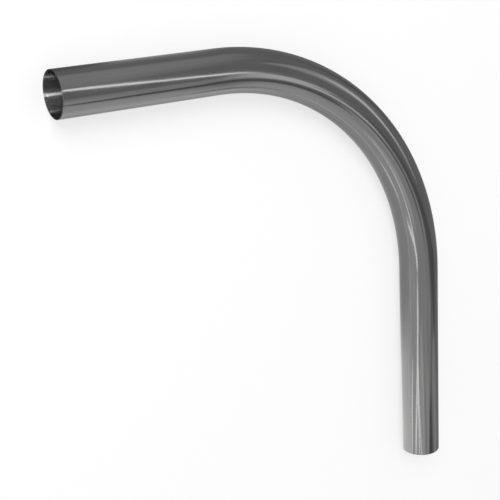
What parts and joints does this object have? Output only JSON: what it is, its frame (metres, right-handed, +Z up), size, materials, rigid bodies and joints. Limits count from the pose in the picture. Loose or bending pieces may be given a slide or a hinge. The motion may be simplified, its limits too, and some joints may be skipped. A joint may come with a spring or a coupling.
{
  "type": "butt weld elbow",
  "caption": "Long-radius elbow of thin-walled round stainless tube, bent a quarter turn, with straight square-cut ends for butt welding into a line.",
  "frame": {"origin": "centre of the inlet end, on the tube's axis", "axes": "+X along the tube's axis from the inlet end into the elbow; the bend turns towards -Y in the level plane Z = 0, and the outlet points along -Y; +Z up, with the elbow lying on its side on its lowest line"},
  "size_m": [1.0419, 1.1969, 0.104],
  "materials": {
    "tube": "satin stainless steel, darker than bright steel, with fine streaks along the tube"
  },
  "bodies": {
    "root": {"elbow": "tube"}
  },
  "joints": []
}
